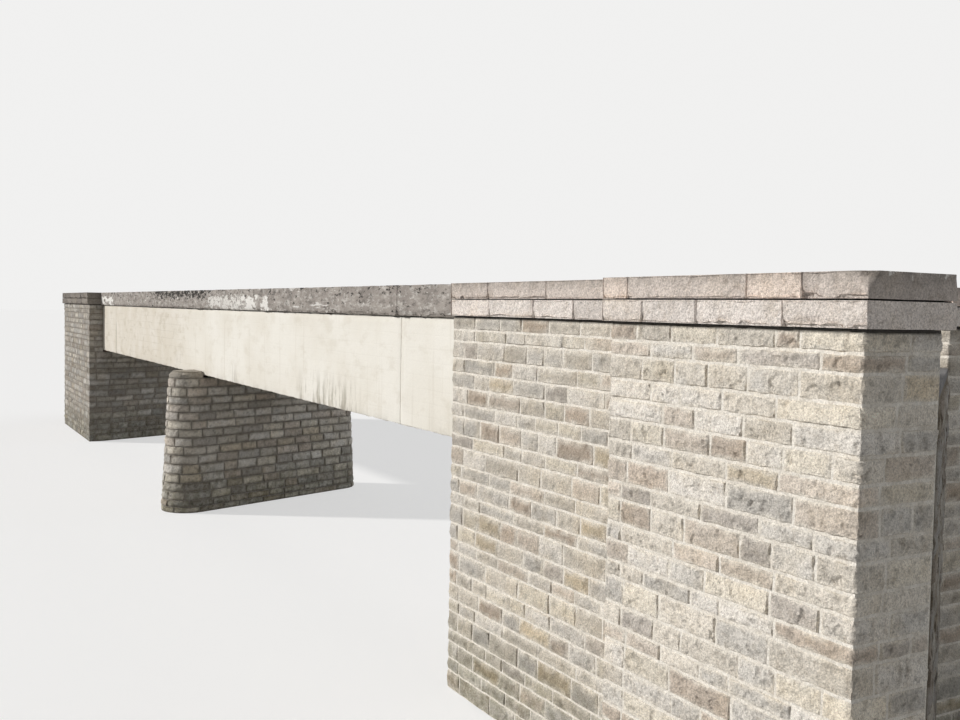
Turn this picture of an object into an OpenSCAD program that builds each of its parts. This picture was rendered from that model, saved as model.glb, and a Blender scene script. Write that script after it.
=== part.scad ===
// Skewed road bridge, two spans: concrete edge girders on granite abutments and one round-nosed pier.
// Drawn at half of real size, in millimetres. +Z is up, +X runs along the road, -Y is the front.
// The origin is the middle of the bridge on plan, at the foot of the pier and walls.
// The plan repeats itself when it is turned half a turn about the origin.

/* [Plan] */
// length of each span along the road, between the faces of pier centre and abutment
span_l = 9500; // [6000:50:12000]
// how far the abutment face moves along the road from one girder face to the other
skew_run = 1000; // [0:10:1600]
// from the middle of the road to the outer face of a girder
girder_half = 1340; // [1100:10:1700]
// from the middle of the road to the outer face of an end block
block_half = 1670; // [1450:10:2100]
// from the middle of the road to the outer face of the set-back wall
recess_half = 1440; // [1350:10:1650]
// from the middle of the road to the inner face of the masonry walls and of the girders
wall_inner = 1075; // [900:5:1100]
// length of the set-back wall between girder and short end block
recess_l = 2750; // [1500:10:4000]
// length of the short end block
short_block_l = 2100; // [1200:10:3000]
// length of the long end block
long_block_l = 4350; // [3000:10:5500]

/* [Heights] */
// top of the parapets above the foot of the walls
top_z = 3780; // [3200:10:4600]
// height of the top course of the end blocks
coping_h = 150; // [100:5:220]
// height of the course below it
course_h = 153; // [100:1:220]
// height of the band along the head of a girder
band_h = 322; // [200:2:420]
// how far the projecting courses stand out from the walls
lip = 57; // [20:1:90]
// road surface above the foot of the walls
road_z = 3166; // [2800:2:3400]
// underside of the girders
soffit_z = 2320; // [1800:10:2700]

/* [Deck] */
// thickness of the deck slab
slab_t = 210; // [120:5:300]
// thickness of the road surfacing
surfacing_t = 56; // [30:1:90]
// depth of the cross beams below the slab
beam_drop = 400; // [200:10:560]
// thickness of a cross beam
beam_t = 150; // [100:5:220]
// number of cross beams in each span
beams_per_span = 5; // [3:1:8]
// length of girder that sits inside the masonry at each end
seat_l = 300; // [200:10:450]
// cut-off corner along the lower edges of a girder
arris = 14; // [6:1:30]
// depth of the upright construction joints in the outer face of a girder
joint_d = 8; // [4:1:15]

/* [Pier and abutments] */
// radius of the rounded pier ends at the top
nose_r = 336; // [250:2:450]
// from the middle of the road to the centre of a rounded pier end
nose_y = 1543; // [1300:1:1800]
// the pier and its rounded ends widen by one part in this many toward the foot
batter = 20; // [12:1:40]
// height of the top course of the pier
cap_h = 160; // [100:5:220]
// height of the raised stones on the rounded pier ends, beside the girders
raised_h = 110; // [60:5:160]
// how far the weathered upper edge of the raised stones leans in
raised_lean = 70; // [20:5:120]
// height of the bearing pads
pad_h = 40; // [25:1:60]
// thickness of the abutment wall behind the bearing shelf
back_t = 300; // [200:10:450]
// depth of the bearing shelf
shelf_l = 400; // [340:10:560]

/* [Smoothness] */
// roundness of the pier ends
round_n = 96; // [48:8:160]

/* [Hidden] */
slope = skew_run / (2 * girder_half);
skew_a = atan(slope);
deck_z = road_z - surfacing_t;
shelf_z = soffit_z - pad_h;
mid_z = top_z - coping_h;
course_z = mid_z - course_h;
band_z = top_z - band_h;
girder_mid = (girder_half + wall_inner) / 2;
right_x = span_l + slope * girder_half;
left_x = -span_l + slope * girder_half;
recess_end_x = right_x + recess_l;
front_end_x = recess_end_x + short_block_l;
back_end_x = long_block_l - left_x;
gap = 20;
joint_w = 6;
joint_x = [left_x + 1760, right_x - 1320];
granite = "#a59c8f";
weathered = "#857c70";
concrete = "#e6dccb";
asphalt = "#5a5a5c";

// x of a line parallel to the right abutment face, at distance y from the road middle
function face_x(y, shift = 0) = span_l - slope * y + shift;

// x of the skewed line that joins the inner corners of the two walls at the right end
function end_x(y) =
  (front_end_x + back_end_x) / 2 - (front_end_x - back_end_x) * y / (2 * wall_inner);

// upright slab between two heights over a plan outline
module rise(z0, z1, outline)
  translate([0, 0, z0]) linear_extrude(z1 - z0) polygon(outline);

// plan strip that runs parallel to the abutment faces, across the road
function strip(x0, x1, half) = [
  [x0 + slope * half, -half], [x1 + slope * half, -half],
  [x1 - slope * half, half], [x0 - slope * half, half]
];

module half_turn() rotate([0, 0, 180]) children();

// abutment stem with its bearing shelf and the wall behind the shelf
module abutment_mass() {
  rise(0, shelf_z, strip(span_l, span_l + shelf_l, wall_inner));
  rise(0, deck_z, strip(span_l + shelf_l, span_l + shelf_l + back_t, wall_inner));
}

// filling between the walls, behind the abutment, up to the road surfacing
module core_mass() rise(0, deck_z, [
  [face_x(-wall_inner, shelf_l + back_t), -wall_inner], [end_x(-wall_inner), -wall_inner],
  [end_x(wall_inner), wall_inner], [face_x(wall_inner, shelf_l + back_t), wall_inner]
]);

// room left in a wall for the end of a girder, above the bearing shelf
module girder_pocket(x0, x1)
  translate([x0, -girder_half, shelf_z])
    cube([x1 - x0, girder_half - wall_inner + 10, course_z - shelf_z + 10]);

module recess_wall_mass() difference() {
  rise(0, course_z, [
    [face_x(-recess_half), -recess_half], [recess_end_x, -recess_half],
    [recess_end_x, -wall_inner], [face_x(-wall_inner), -wall_inner]
  ]);
  girder_pocket(right_x - 400, right_x + seat_l + gap);
}

// one of the two projecting courses over the set-back wall
module recess_band(z0, z1) rise(z0, z1, [
  [face_x(-recess_half - lip), -recess_half - lip], [recess_end_x - lip, -recess_half - lip],
  [recess_end_x - lip, -wall_inner + lip], [face_x(-wall_inner + lip), -wall_inner + lip]
]);

module short_block_mass()
  translate([recess_end_x, -block_half, 0])
    cube([short_block_l, block_half - wall_inner, course_z]);

// one of the two projecting courses over the short end block
module short_block_band(z0, z1)
  translate([recess_end_x - lip, -block_half - lip, z0])
    cube([short_block_l + 2 * lip, block_half - wall_inner + 2 * lip, z1 - z0]);

module long_block_mass() difference() {
  rise(0, course_z, [
    [left_x - long_block_l, -block_half], [left_x, -block_half], [left_x, -girder_half],
    [left_x - slope * (girder_half - wall_inner), -wall_inner],
    [left_x - long_block_l, -wall_inner]
  ]);
  girder_pocket(left_x - seat_l - gap, left_x + 10);
}

// one of the two projecting courses over the long end block
module long_block_band(z0, z1)
  translate([left_x - long_block_l - lip, -block_half - lip, z0])
    cube([long_block_l + lip, block_half - wall_inner + 2 * lip, z1 - z0]);

// girder with cut-off lower corners and an upright joint near each end of its outer face
module girder_beam() difference() {
  translate([left_x - seat_l, 0, 0]) rotate([90, 0, 90]) linear_extrude(2 * span_l + 2 * seat_l)
    polygon([
      [-girder_half + arris, soffit_z], [-wall_inner - arris, soffit_z],
      [-wall_inner, soffit_z + arris], [-wall_inner, band_z],
      [-girder_half, band_z], [-girder_half, soffit_z + arris]
    ]);
  for (x = joint_x)
    translate([x - joint_w / 2, -girder_half - 10, soffit_z - 10])
      cube([joint_w, joint_d + 10, band_z - soffit_z + 20]);
}

// band along the head of a girder, standing out on both faces
module girder_head() rise(band_z, top_z, [
  [left_x, -girder_half - lip], [face_x(-girder_half - lip), -girder_half - lip],
  [face_x(-wall_inner + lip), -wall_inner + lip], [left_x, -wall_inner + lip]
]);

// solid with rounded ends set along the skewed pier line, r0 wide at its foot and r1 at its top
module nosed(z0, z1, r0, r1) {
  reach = nose_y / cos(skew_a);
  rotate([0, 0, skew_a]) {
    for (s = [-1, 1])
      translate([0, s * reach, z0]) cylinder(h = z1 - z0, r1 = r0, r2 = r1, $fn = round_n);
    translate([0, reach, 0]) rotate([90, 0, 0]) linear_extrude(2 * reach)
      polygon([[-r0, z0], [r0, z0], [r1, z1], [-r1, z1]]);
  }
}

// half width of the battered pier at a height
function pier_r(z) = nose_r + (shelf_z - z) / batter;

// stones on the rounded ends, higher than the bearing shelf between them and weathered on top
module raised_ends() difference() {
  edge_z = shelf_z + raised_h / 2;
  union() {
    nosed(shelf_z, edge_z, nose_r, nose_r - 4);
    nosed(edge_z, shelf_z + raised_h, nose_r - 4, nose_r - raised_lean);
  }
  translate([-2 * nose_y, -girder_half - gap, shelf_z - 10])
    cube([4 * nose_y, 2 * girder_half + 2 * gap, raised_h + 20]);
}

module pad(x, y) translate([x - 130, y - 90, shelf_z]) cube([260, 180, pad_h]);

module right_abutment() color(granite) abutment_mass();
module left_abutment() color(granite) half_turn() abutment_mass();
module right_core() color(granite) core_mass();
module left_core() color(granite) half_turn() core_mass();

module front_recess_wall() color(granite) recess_wall_mass();
module front_recess_course() color(weathered) recess_band(course_z, mid_z);
module front_recess_coping() color(weathered) recess_band(mid_z, top_z);
module front_short_block_wall() color(granite) short_block_mass();
module front_short_block_course() color(weathered) short_block_band(course_z, mid_z);
module front_short_block_coping() color(weathered) short_block_band(mid_z, top_z);
module front_long_block_wall() color(granite) long_block_mass();
module front_long_block_course() color(weathered) long_block_band(course_z, mid_z);
module front_long_block_coping() color(weathered) long_block_band(mid_z, top_z);

module back_recess_wall() half_turn() front_recess_wall();
module back_recess_course() half_turn() front_recess_course();
module back_recess_coping() half_turn() front_recess_coping();
module back_short_block_wall() half_turn() front_short_block_wall();
module back_short_block_course() half_turn() front_short_block_course();
module back_short_block_coping() half_turn() front_short_block_coping();
module back_long_block_wall() half_turn() front_long_block_wall();
module back_long_block_course() half_turn() front_long_block_course();
module back_long_block_coping() half_turn() front_long_block_coping();

module pier_shaft() color(granite)
  nosed(0, shelf_z - cap_h, pier_r(0), pier_r(shelf_z - cap_h));

module pier_cap() color(granite) {
  nosed(shelf_z - cap_h, shelf_z, pier_r(shelf_z - cap_h), nose_r);
  raised_ends();
}

module pier_bearings() color(asphalt)
  for (s = [-1, 1]) pad(-slope * s * girder_mid, s * girder_mid);

module abutment_bearings() color(asphalt) for (turn = [0, 180]) rotate([0, 0, turn]) {
  pad(right_x + seat_l / 2, -girder_mid);
  pad(left_x - seat_l / 2, -girder_mid);
}

module front_girder() color(concrete) girder_beam();
module front_girder_band() color(weathered) girder_head();
module back_girder() half_turn() front_girder();
module back_girder_band() half_turn() front_girder_band();

module deck_slab() color(concrete)
  rise(deck_z - slab_t, deck_z, strip(-span_l - shelf_l + gap, span_l + shelf_l - gap, wall_inner));

// cross beams lie parallel to the abutment faces, with one over each bearing line
module cross_beams() color(concrete) {
  pitch = (span_l + seat_l / 2) / (beams_per_span + 1);
  for (i = [-beams_per_span - 1 : beams_per_span + 1])
    rise(deck_z - slab_t - beam_drop, deck_z - slab_t,
      strip(i * pitch - beam_t / 2, i * pitch + beam_t / 2, wall_inner));
}

module bridge_surfacing() color(asphalt)
  rise(deck_z, road_z, strip(-span_l - shelf_l, span_l + shelf_l, wall_inner));

module approach_surfacing() rise(deck_z, road_z, [
  [face_x(-wall_inner, shelf_l), -wall_inner], [end_x(-wall_inner), -wall_inner],
  [end_x(wall_inner), wall_inner], [face_x(wall_inner, shelf_l), wall_inner]
]);
module right_approach_surfacing() color(asphalt) approach_surfacing();
module left_approach_surfacing() color(asphalt) half_turn() approach_surfacing();

right_abutment();
left_abutment();
right_core();
left_core();
front_recess_wall();
front_recess_course();
front_recess_coping();
front_short_block_wall();
front_short_block_course();
front_short_block_coping();
front_long_block_wall();
front_long_block_course();
front_long_block_coping();
back_recess_wall();
back_recess_course();
back_recess_coping();
back_short_block_wall();
back_short_block_course();
back_short_block_coping();
back_long_block_wall();
back_long_block_course();
back_long_block_coping();
pier_shaft();
pier_cap();
pier_bearings();
abutment_bearings();
front_girder();
front_girder_band();
back_girder();
back_girder_band();
deck_slab();
cross_beams();
bridge_surfacing();
right_approach_surfacing();
left_approach_surfacing();
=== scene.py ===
"""Looks of the skewed girder road bridge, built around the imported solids."""
import math

import bpy
import numpy as np
from mathutils import Matrix, Vector


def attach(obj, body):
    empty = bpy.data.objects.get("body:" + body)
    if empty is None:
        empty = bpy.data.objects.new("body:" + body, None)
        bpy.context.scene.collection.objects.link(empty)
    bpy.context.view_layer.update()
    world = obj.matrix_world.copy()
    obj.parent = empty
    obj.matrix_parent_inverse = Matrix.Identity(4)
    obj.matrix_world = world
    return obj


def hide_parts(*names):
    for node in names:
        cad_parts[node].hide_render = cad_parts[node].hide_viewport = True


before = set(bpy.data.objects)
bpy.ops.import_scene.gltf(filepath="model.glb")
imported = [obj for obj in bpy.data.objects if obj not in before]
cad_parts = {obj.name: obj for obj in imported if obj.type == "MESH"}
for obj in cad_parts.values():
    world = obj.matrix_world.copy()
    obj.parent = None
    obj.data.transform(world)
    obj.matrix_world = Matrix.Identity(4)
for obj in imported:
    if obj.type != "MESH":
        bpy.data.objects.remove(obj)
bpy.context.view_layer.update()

# Sizes shared with the solids

# heights: top of the parapets, undersides of their coping, of its lower course and of the band
TOP = 3.780
MID = TOP - 0.150
COURSE = MID - 0.153
BAND = 3.458
# road, deck slab, underside of the girders, bearing shelf, underside of the pier's top course,
# and height of the raised stones on the rounded pier ends
ROAD = 3.166
DECK = ROAD - 0.056
SOFFIT = 2.320
SHELF = SOFFIT - 0.040
CAP = 2.120
RAISED = 0.110
# from the middle of the road to the faces of girder, end block and set-back wall, and to the
# inner face of all three
GIRDER_Y = 1.340
BLOCK_Y = 1.670
RECESS_Y = 1.440
INNER_Y = 1.075
# how far the projecting courses and bands stand out
LIP = 0.057
# skew of the pier and the abutments
SLOPE = 1.0 / (2 * GIRDER_Y)
SKEW = math.atan(SLOPE)
# places along the front: span, girder ends, wall ends, girder joints, hidden girder ends
SPAN = 9.5
RIGHT_X = SPAN + SLOPE * GIRDER_Y
LEFT_X = SLOPE * GIRDER_Y - SPAN
RECESS_END = RIGHT_X + 2.75
SHORT_END = RECESS_END + 2.10
LONG_END = 4.35 - LEFT_X
JOINTS_X = (LEFT_X + 1.76, RIGHT_X - 1.32)
SEAT = 0.300
# rounded pier ends: radius at the top and centres; the pier widens by one part in BATTER
NOSE_R = 0.336
NOSE_Y = 1.543
NOSE_REACH = NOSE_Y / math.cos(SKEW)
BATTER = 20.0

# Joints of the stones

# level joints of the walls, from the foot to the underside of the projecting courses
LEVELS = [0.0, 0.170, 0.290, 0.445, 0.560, 0.735, 0.850, 1.000, 1.135, 1.305, 1.415, 1.565,
          1.740, 1.850, 1.995, 2.115, SHELF, 2.395, 2.560, 2.680, 2.825, 2.962, 3.093, 3.250,
          3.354, COURSE]

# level joints of the pier
PIER_LEVELS = [0.0, 0.100, 0.215, 0.360, 0.505, 0.655, 0.820, 0.975, 1.120, 1.270, 1.410, 1.555,
               1.700, 1.830, 1.960, CAP, SHELF]

# upright joints that the photograph shows in the near block: by a row's lower level, then in the
# lower course and in the coping
NEAR_JOINTS = {
    3.354: (13.02, 13.37, 13.78, 14.25, 14.43),
    3.250: (13.17, 13.57, 13.96, 14.574),
    3.093: (13.085, 13.41, 13.713, 14.044, 14.43),
    2.962: (13.18, 13.465, 13.84, 14.27),
    2.825: (13.30, 13.61, 14.02, 14.40),
}
NEAR_COURSE_JOINTS = (13.115, 13.631, 14.333)
NEAR_COPING_JOINTS = (12.964, 14.055, 14.467)

# Small values used throughout

# two places nearer than this are one
CLOSE = 1e-6
# turns the front into the back
HALF_TURN = np.array([-1.0, -1.0, 1.0])
# spacing of the points on a stone, from the block nearest the camera to the farthest walls
NEAR_CELL = 0.013
PIER_CELL = 0.025
FAR_CELL = 0.035
LEFT_CELL = 0.040

# Repeatable noise

STIR = (374761393, 668265263, 1440662683, 974634777)
STIR_AGAIN = 1274126177
WORD = 0xFFFFFFFF
HALF_WORD = 0xFFFF
SEED_STEP = 17


def new_seed(rng):
    """A seed for the noise of one stone."""
    return int(rng.integers(1, 100000))


def lattice(ix, iy, iz, seed):
    """Scattered numbers from -1 to 1, fixed by whole position and seed."""
    h = sum(part * by for part, by in zip((ix, iy, iz, seed), STIR)) & WORD
    h = ((h ^ (h >> 13)) * STIR_AGAIN) & WORD
    return ((h ^ (h >> 16)) & HALF_WORD) / (HALF_WORD / 2) - 1.0


def value_noise(points, size, seed):
    """Smooth noise from -1 to 1, with lumps of the given size."""
    scaled = points / size
    cell = np.floor(scaled).astype(np.int64)
    part = scaled - cell
    part = part * part * (3 - 2 * part)
    share = (1 - part, part)
    total = np.zeros(len(points))
    for dx, dy, dz in np.ndindex(2, 2, 2):
        weight = share[dx][:, 0] * share[dy][:, 1] * share[dz][:, 2]
        total += weight * lattice(cell[:, 0] + dx, cell[:, 1] + dy, cell[:, 2] + dz, seed)
    return total


def fractal(points, size, seed, octaves=3):
    """Noise with weaker, finer noise added, from -1 to 1."""
    total = np.zeros(len(points))
    share = 1.0
    weight = 0.0
    for k in range(octaves):
        total += share * value_noise(points, size / 2 ** k, seed + SEED_STEP * k)
        weight += share
        share /= 2
    return total / weight


def linear(r, g, b):
    """Linear colour of a display colour with parts up to 255."""
    c = np.array([r, g, b]) / 255.0
    return np.where(c <= 0.04045, c / 12.92, ((c + 0.055) / 1.055) ** 2.4)


# Mesh gathering

SHARP_ANGLE = 36


class Pile:
    """Gathers closed stones into one mesh with a colour on each vertex."""

    def __init__(self):
        self.points = []
        self.faces = []
        self.tones = []
        self.count = 0

    def add(self, points, faces, tone):
        """Adds one stone; tone is one colour, or one for each point."""
        points = np.asarray(points, float)
        self.points.append(points)
        self.faces.extend([[i + self.count for i in f] for f in faces])
        tone = np.broadcast_to(np.asarray(tone, float), (len(points), 3))
        tone = tone / np.maximum(tone.max(1), 1.0)[:, None]
        self.tones.append(np.column_stack([tone, np.ones(len(points))]))
        self.count += len(points)

    def make(self, name, material, replaces=(), turn=False):
        """Makes the visible piece, turned half a turn for the back or the left."""
        points = np.concatenate(self.points)
        if turn:
            points = points * HALF_TURN
        mesh = bpy.data.meshes.new(name)
        mesh.from_pydata(points.tolist(), [], self.faces)
        mesh.validate()
        tones = np.concatenate(self.tones).astype(np.float32)
        layer = mesh.color_attributes.new("tone", "FLOAT_COLOR", "POINT")
        layer.data.foreach_set("color", tones.ravel())
        mesh.shade_smooth()
        mesh.set_sharp_from_angle(angle=math.radians(SHARP_ANGLE))
        mesh.materials.append(material)
        piece = bpy.data.objects.new(name, mesh)
        bpy.context.scene.collection.objects.link(piece)
        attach(piece, "root")
        if replaces:
            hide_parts(*replaces)


def samples(a, b, cell, rim):
    """Positions from a to b, with one close to each end to round its edge."""
    n = max(2, int(round((b - a) / cell)))
    inner = np.linspace(a + rim, b - rim, n)
    return np.concatenate([[a], inner, [b]])


# Outlines in plan


class Outline:
    """A line of walls in plan, with its outer side on the right."""

    def __init__(self, corners):
        self.corners = np.array(corners, float)
        step = np.diff(self.corners, axis=0)
        self.length = np.hypot(step[:, 0], step[:, 1])
        self.marks = np.concatenate([[0], np.cumsum(self.length)])
        way = step / self.length[:, None]
        self.normals = np.stack([way[:, 1], -way[:, 0]], 1)
        self.breaks = list(self.marks[1:-1])
        self.end = self.marks[-1]

    def at(self, u, z, out):
        """Points u along the line at height z, out from the wall, mitred at corners."""
        k = np.searchsorted(self.marks, u, side="right") - 1
        k = np.clip(k, 0, len(self.length) - 1)
        share = ((u - self.marks[k]) / self.length[k])[:, None]
        base = self.corners[k] * (1 - share) + self.corners[k + 1] * share
        normal = self.normals[k].copy()
        for i, b in enumerate(self.breaks):
            on = np.abs(u - b) < CLOSE
            if on.any():
                before, after = self.normals[i], self.normals[i + 1]
                normal[on] = (before + after) / (1 + before @ after)
        xy = base + normal * np.asarray(out).reshape(-1, 1)
        return np.column_stack([xy, z])


class PierOutline:
    """The pier in plan: two sides and two half rounds, wider toward the foot."""

    # how far the mortar lies inside the solid's face
    inset = 0.015
    # how far everything stays inside the solid's foot
    spare = 0.001

    def __init__(self):
        self.side = 2 * NOSE_REACH
        self.arc = math.pi * (NOSE_R + SHELF / 2 / BATTER)
        self.end = 2 * (self.side + self.arc)
        self.breaks = []
        self.turn = np.array([[math.cos(SKEW), math.sin(SKEW)], [-math.sin(SKEW), math.cos(SKEW)]])

    def at(self, u, z, out):
        """Points u along the outline at height z, out from its face."""
        u = np.mod(u, self.end)
        r = NOSE_R + (SHELF - z) / BATTER - self.inset + out
        r = np.minimum(r, NOSE_R + SHELF / BATTER - self.spare)
        side, arc = self.side, self.arc
        first_turn = np.clip((u - side) / arc, 0, 1) * math.pi
        second_turn = np.clip((u - 2 * side - arc) / arc, 0, 1) * math.pi
        angle = first_turn + second_turn
        going = np.clip(u, 0, side) - side / 2
        returning = side / 2 - np.clip(u - side - arc, 0, side)
        along = np.where(u < side + arc / 2, going, returning)
        along = np.where(u > 2 * side + arc, -side / 2, along)
        local = np.column_stack([r * np.cos(angle), along + r * np.sin(angle)])
        return np.column_stack([local @ self.turn, z])


# Stones

# display colours of the stones, each with how often it comes up
PALETTE = [
    ((219, 211, 198), 5.0), ((228, 219, 202), 3.0), ((209, 204, 196), 4.0),
    ((216, 204, 190), 2.5), ((233, 227, 218), 3.0), ((216, 202, 178), 1.0),
    ((196, 188, 179), 1.5), ((203, 188, 172), 1.5),
]
SHARES = np.array([share for _, share in PALETTE])
# mortar smeared over the edges of the stones: fresh, aged, and earth
SMEAR = linear(248, 242, 231)
AGED = linear(150, 142, 130)
EARTH = linear(112, 100, 84)

# the second row of points stands this far from a stone's edge
RIM = 0.006
# a stone's back lies this far inside the wall
BACK = 0.030
# a stone that turns a corner has points on it and this far on either side
CORNER_STEP = 0.004
# unless it ends this near the corner
CORNER_MARGIN = 0.020
# tilted planes that make up the broken face of a stone
PLANES = 6
# a flake has come off where the noise is below minus this
FLAKE = 0.22


def stone_tone(rng, shade, grey):
    """A stone's colour, from the palette."""
    base = linear(*PALETTE[rng.choice(len(PALETTE), p=SHARES / SHARES.sum())][0])
    base = base * (1 - grey) + base.mean() * grey
    return base * shade * rng.uniform(0.80, 1.09)


def facets(across, up, rng, proud, width, height):
    """Broken face of a pitched stone: the lowest of a few tilted planes."""
    face = np.full(len(across), proud * rng.uniform(0.9, 1.4))
    for _ in range(PLANES):
        angle = rng.uniform(0, 2 * math.pi)
        lean = rng.uniform(0.8, 2.6) * proud
        tilt = math.cos(angle) * across / width + math.sin(angle) * up / height
        face = np.minimum(face, proud * rng.uniform(0.8, 1.7) + lean * tilt)
    return np.maximum(face, 0.25 * proud)


def stone_grid(line, u0, u1, z0, z1, cell):
    """Places of a stone's points along the wall and up it."""
    us = samples(u0, u1, cell, RIM)
    for b in line.breaks:
        if u0 + CORNER_MARGIN < b < u1 - CORNER_MARGIN:
            us = us[np.abs(us - b) > 0.45 * cell]
            us = np.sort(np.append(us, [b - CORNER_STEP, b, b + CORNER_STEP]))
    return us, samples(z0, z1, cell, RIM)


def face_relief(line, u, flat, edge, face, broken, seed, rough, wide):
    """How far each point of a stone's face stands out."""
    round_off = np.sqrt(1 - (1 - np.clip(edge / wide, 0, 1)) ** 2)
    face = face + rough * 0.0030 * fractal(flat, 0.12, seed, 2)
    face += rough * (0.0060 * np.abs(broken) - 0.0070 * (broken < -FLAKE))
    face += rough * 0.0022 * fractal(flat, 0.028, seed + 6, 2)
    out = 0.0015 + np.maximum(face, 0.0020) * round_off
    for b in line.breaks:
        chipped = np.clip(fractal(flat, 0.045, seed + 9, 3) + 0.1, 0, 1)
        out -= 0.030 * chipped * np.exp(-np.abs(u - b) / 0.014)
    return np.maximum(out, 0.0012)


def grid_faces(grid):
    """Four-sided faces of a grid of point numbers."""
    faces = np.stack([grid[:-1, :-1], grid[:-1, 1:], grid[1:, 1:], grid[1:, :-1]], -1)
    return faces.reshape(-1, 4).tolist()


def edge_ring(grid):
    """Point numbers round the edge of a grid."""
    return np.concatenate([grid[0, :], grid[1:, -1], grid[-1, -2::-1], grid[-2:0:-1, 0]])


def back_faces(ring, m, n):
    """Sides and back that close a stone of m by n points."""
    first = m * n
    k = len(ring)
    faces = []
    for i in range(k):
        j = (i + 1) % k
        faces.append([int(ring[j]), int(ring[i]), first + i, first + j])
    low = [first + i for i in range(m)]
    high = [first + m + n - 2 + (m - 1) - i for i in range(m)]
    for i in range(m - 1):
        strip = [low[i], high[i], high[i + 1], low[i + 1]]
        if i == 0:
            left = [first + k - 1 - q for q in range(n - 2)]
            strip = [low[0], *left, high[0], high[1], low[1]]
        if i == m - 2:
            right = [first + m - 1 + n - 2 - q for q in range(n - 2)]
            strip = strip[:-1] + right + [low[-1]]
        faces.append(strip)
    return faces


def face_tone(rng, flat, edge, broken, seed, shade, grey, smear):
    """Mottled colour, with painted shade along the edges of the flakes, and smeared near the
    joints.
    """
    mottle = 1 + 0.12 * fractal(flat, 0.10, seed + 7, 3)
    tone = stone_tone(rng, shade, grey) * mottle[:, None]
    # painted shade in the creases where flakes have come off the face
    tone = tone * (1 - 0.35 * np.exp(-((broken + FLAKE) / 0.05) ** 2))[:, None]
    share = np.clip(0.70 - edge / 0.03 + 0.7 * fractal(flat, 0.08, 31, 2), 0, 0.9)[:, None]
    return tone * (1 - share) + smear * share


def stone(pile, line, u0, u1, z0, z1, cell, rng, proud=0.014, rough=1.0, shade=1.0, grey=0.0,
          smear=SMEAR, wander=0.006, wave=0.05):
    """One rock-faced stone of a wall, closed at the back."""
    us, zs = stone_grid(line, u0, u1, z0, z1, cell)
    m, n = len(us), len(zs)
    u, z = [grid.ravel() for grid in np.meshgrid(us, zs)]
    flat = line.at(u, z, np.zeros(len(u)))
    edge = np.minimum(np.minimum(u - u0, u1 - u), np.minimum(z - z0, z1 - z))
    seed = new_seed(rng)
    wide = rng.uniform(0.006, 0.014)
    face = facets(u - (u0 + u1) / 2, z - (z0 + z1) / 2, rng, proud, u1 - u0, z1 - z0)
    broken = fractal(flat, 0.07, seed + 5, 3)
    out = face_relief(line, u, flat, edge, face, broken, seed, rough, wide)
    u = u + wander * fractal(flat, wave, 11, 2)
    z = np.maximum(z + wander * fractal(flat, 1.2 * wave, 12, 2), 0.0)
    front = line.at(u, z, out)
    grid = np.arange(m * n).reshape(n, m)
    ring = edge_ring(grid)
    back = line.at(u[ring], z[ring], np.full(len(ring), -BACK))
    tone = face_tone(rng, flat, edge, broken, seed, shade, grey, smear)
    faces = grid_faces(grid) + back_faces(ring, m, n)
    pile.add(np.concatenate([front, back]), faces, np.concatenate([tone, tone[ring]]))


def joints_along(line, u0, u1, rng, short, long):
    """Joints of one row, kept clear of the corners so that stones turn them."""
    marks = [u0]
    u = u0 + rng.uniform(0.5 * short, long)
    last = u1 - 0.6 * short
    while u < last:
        for b in line.breaks:
            if abs(u - b) < 0.11:
                u = b + rng.uniform(0.12, 0.26)
        if u < last:
            marks.append(u)
        u += rng.uniform(short, long)
    marks.append(u1)
    return marks


def lay(pile, line, z0, z1, rng, cell, marks=None, u0=0.0, u1=None, gap=0.018, short=0.24,
        long=0.56, **look):
    """One row of stones between two level joints."""
    u1 = line.end if u1 is None else u1
    marks = marks or joints_along(line, u0, u1, rng, short, long)
    half = gap / 2
    for a, b in zip(marks[:-1], marks[1:]):
        stone(pile, line, a + half, b - half, z0 + half, z1 - half, cell, rng, **look)


# Dressed and cast blocks

# half the width of an open joint between dressed blocks, and between lengths of a girder
BLOCK_GAP = 0.0015
CAST_GAP = 0.002
# the dressed blocks: lengths, radius and wear of their edges, and roughness
BLOCK_LENGTH = (0.55, 1.05)
BLOCK_EDGE = 0.0035
BLOCK_WEAR = 0.012
BLOCK_ROUGH = 0.0075
# the near-black bed behind them, painted shade that shows through their open joints, and the tone
# of cast pieces, which their materials don't use
JOINT_SHADE_TONE = (0.05, 0.045, 0.04)
CAST_TONE = (0.8, 0.8, 0.8)


def block_shell(lo, hi, cell, radius):
    """Points on the surface of a box, and their numbers on its grid."""
    axes = [samples(lo[i], hi[i], cell[i], radius) for i in range(3)]
    shape = [len(a) for a in axes]
    steps = np.indices(shape)
    shell = np.zeros(shape, bool)
    for step, count in zip(steps, shape):
        shell |= (step == 0) | (step == count - 1)
    number = np.full(shape, -1)
    number[shell] = np.arange(shell.sum())
    points = np.column_stack([axis[step[shell]] for axis, step in zip(axes, steps)])
    return points, number


def shell_faces(number):
    """Faces of a box's six sides, turned outward."""
    faces = []
    for axis in range(3):
        for end in (0, -1):
            grid = np.take(number, end, axis)
            quads = np.stack([grid[:-1, :-1], grid[1:, :-1], grid[1:, 1:], grid[:-1, 1:]], -1)
            quads = quads.reshape(-1, 4)
            inward = (end == 0) != (axis == 1)
            faces.extend((quads[:, ::-1] if inward else quads).tolist())
    return faces


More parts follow.
